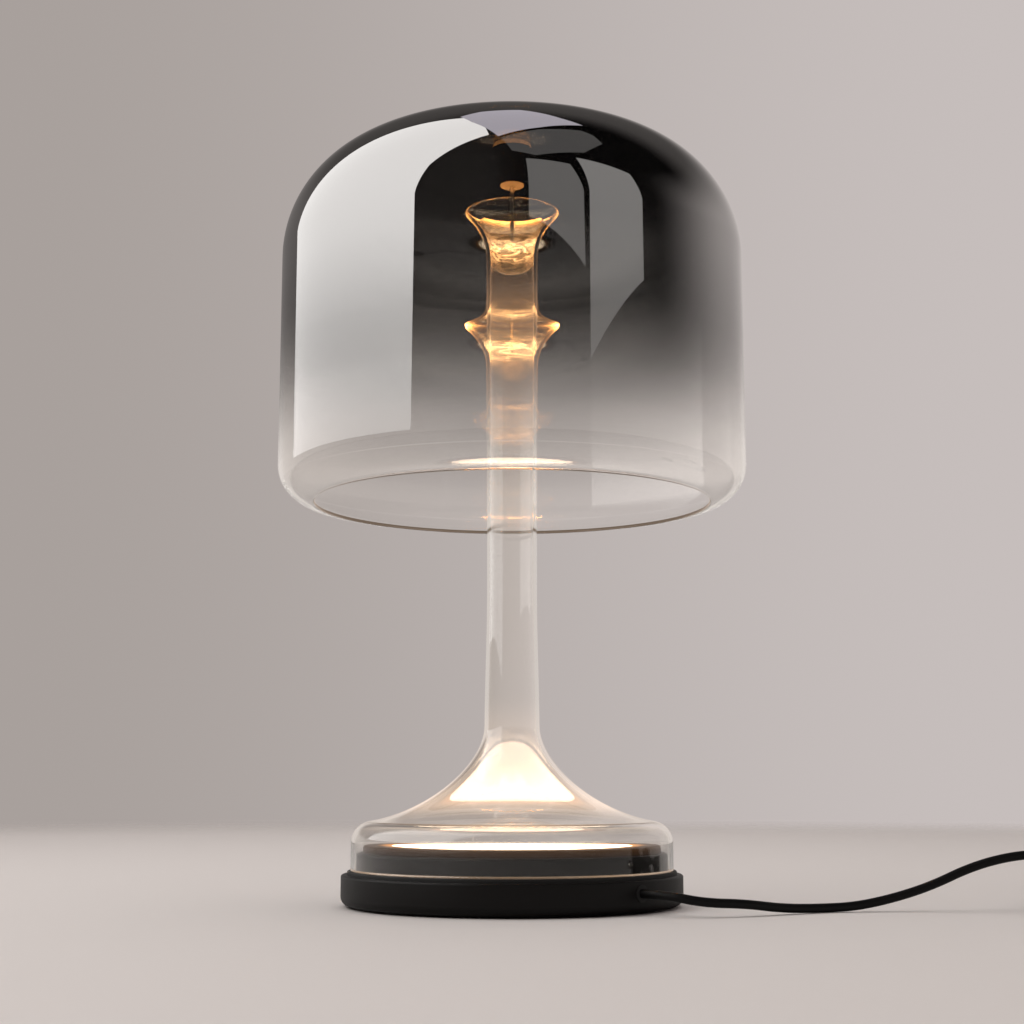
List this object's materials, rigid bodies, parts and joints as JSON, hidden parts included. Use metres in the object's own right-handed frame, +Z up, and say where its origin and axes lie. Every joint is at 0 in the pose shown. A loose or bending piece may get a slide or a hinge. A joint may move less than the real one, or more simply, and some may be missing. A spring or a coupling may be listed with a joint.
{
  "type": "table lamp",
  "caption": "Bedside lamp: a mirror-tinted glass dome rests on a clear blown stem that stands like a bell over a round LED light in a black base, with a cord and an in-line switch.",
  "frame": {"origin": "centre of the base's underside, on the table", "axes": "+Z up along the stem, -Y the front that the picture sees, +X to its right, where the cord runs"},
  "size_m": [0.5785, 0.3333, 0.449],
  "materials": {
    "base_black": "matte powder coat",
    "module_black": "black anodised, satin",
    "weight_iron": "as cast",
    "screw_steel": "zinc plated",
    "pad_rubber": "matte",
    "cord_black": "smooth jacket, matte",
    "inner_white": "moulded",
    "lead_red": "smooth insulation",
    "board_white": "white solder mask",
    "chip_yellow": "phosphor",
    "opal": "opal, satin",
    "clear_glass": "polished",
    "mirror_glass": "vacuum metallised, fading to clear at the rim",
    "holder_black": "satin",
    "spacer_opal": "translucent",
    "switch_black": "fine spark texture",
    "contact_brass": "bright",
    "pin_nickel": "nickel plated"
  },
  "bodies": {
    "lamp": {"base_housing": "base_black", "bottom_plate": "base_black", "foot_pad": "pad_rubber", "bottom_screws": "screw_steel", "base_weight": "weight_iron", "weight_screws": "screw_steel", "cord_gland": "pad_rubber", "cord_tail": "cord_black", "cord_saddle": "inner_white", "clamp_bar": "inner_white", "clamp_screws": "screw_steel", "terminal_block": "inner_white", "terminal_screws": "screw_steel", "led_driver": "inner_white", "mains_leads": "lead_red", "led_leads": "lead_red", "heat_sink": "module_black", "module_screws": "screw_steel", "led_board": "board_white", "led_chips": "chip_yellow", "board_screws": "screw_steel", "diffuser": "opal", "bezel_ring": "module_black", "bezel_screws": "screw_steel", "seat_ring": "pad_rubber", "glass_stem": "clear_glass", "holder_plug": "clear_glass", "holder_post_lower": "clear_glass", "holder_spacer": "spacer_opal", "holder_post_upper": "holder_black", "holder_head": "holder_black", "holder_stud": "screw_steel", "holder_pad": "pad_rubber", "supply_cord": "cord_black", "switch_base": "switch_black", "switch_cover": "switch_black", "rocker_pin": "screw_steel", "switch_screws": "screw_steel", "switch_reliefs": "cord_black", "contact_strips": "contact_brass", "contact_leaf": "contact_brass", "cord_link": "cord_black", "cord_coil": "cord_black", "coil_strap": "pad_rubber", "plug_lead": "cord_black", "plug_relief": "cord_black", "plug_body": "cord_black", "plug_pins": "pin_nickel"},
    "shade": {"glass_dome": "mirror_glass"},
    "rocker": {"switch_rocker": "switch_black"}
  },
  "joints": [
    {"name": "shade_lift", "type": "slide", "parent": "lamp", "child": "shade", "axis": [0, 0, 1], "range_m": [0, 0.23]},
    {"name": "rocker_tilt", "type": "hinge", "parent": "lamp", "child": "rocker", "pos_m": [0.43, 0.066, 0.0126], "axis": [1, 0, 0], "range_deg": [-12, 0]}
  ]
}
